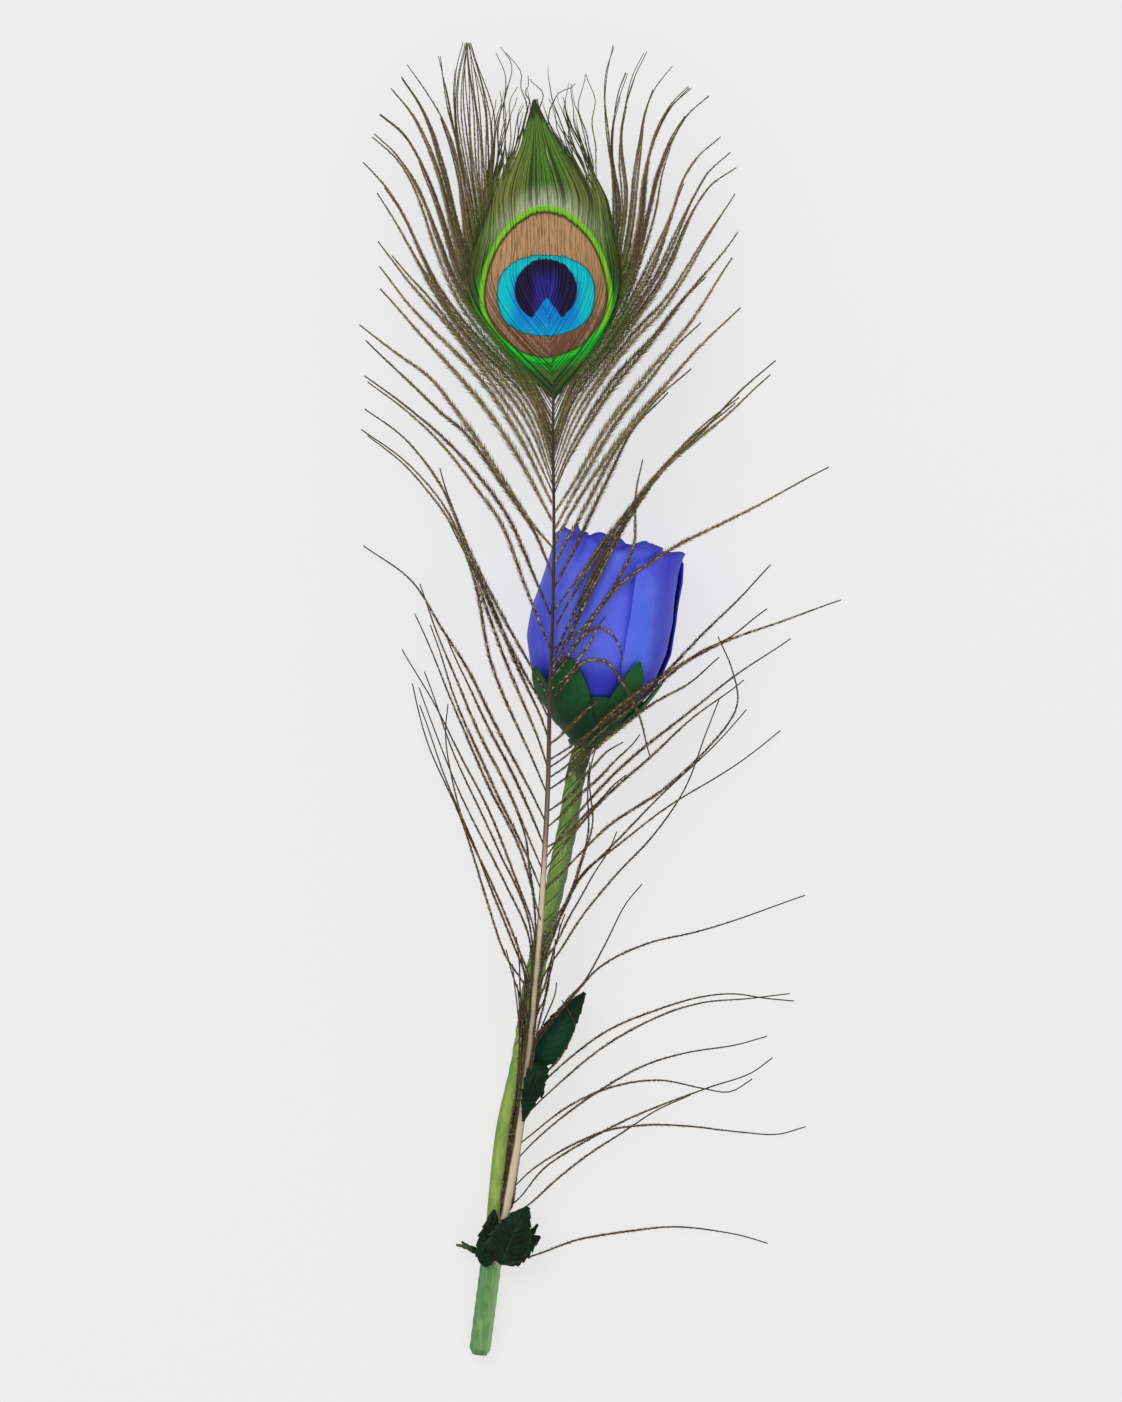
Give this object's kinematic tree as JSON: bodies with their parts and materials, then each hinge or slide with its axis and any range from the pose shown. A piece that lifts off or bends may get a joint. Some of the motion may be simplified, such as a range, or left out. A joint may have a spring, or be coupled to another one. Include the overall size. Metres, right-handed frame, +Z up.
{
  "type": "peacock feather",
  "caption": "Peacock eye feather tied to an artificial blue rosebud on a taped green stem, laid down on a flat surface.",
  "frame": {"origin": "middle of the bunch's footprint, on the surface it lies on", "axes": "+Y from the cut foot of the stem to the feather's tip, +Z up from the surface, +X to the right seen from above with the tip away from the viewer"},
  "size_m": [0.121, 0.3298, 0.0392],
  "materials": {
    "feather": "iridescent barbs with fine barbules",
    "rose_petal": "satin",
    "calyx": "satin",
    "stem_tape": "waxed tape",
    "binding_tape": "waxed tape",
    "leaf": "matt"
  },
  "bodies": {
    "root": {"feather": "feather", "outer_petal_1": "rose_petal", "outer_petal_2": "rose_petal", "outer_petal_3": "rose_petal", "outer_petal_4": "rose_petal", "outer_petal_5": "rose_petal", "middle_petal_1": "rose_petal", "middle_petal_2": "rose_petal", "middle_petal_3": "rose_petal", "middle_petal_4": "rose_petal", "inner_petal_1": "rose_petal", "inner_petal_2": "rose_petal", "inner_petal_3": "rose_petal", "heart_petal": "rose_petal", "calyx": "calyx", "stem": "stem_tape", "binding": "binding_tape", "upper_leaf": "leaf", "middle_leaf": "leaf", "lower_leaf_front": "leaf", "lower_leaf_right": "leaf", "lower_leaf_left": "leaf", "bract": "leaf"}
  },
  "joints": []
}
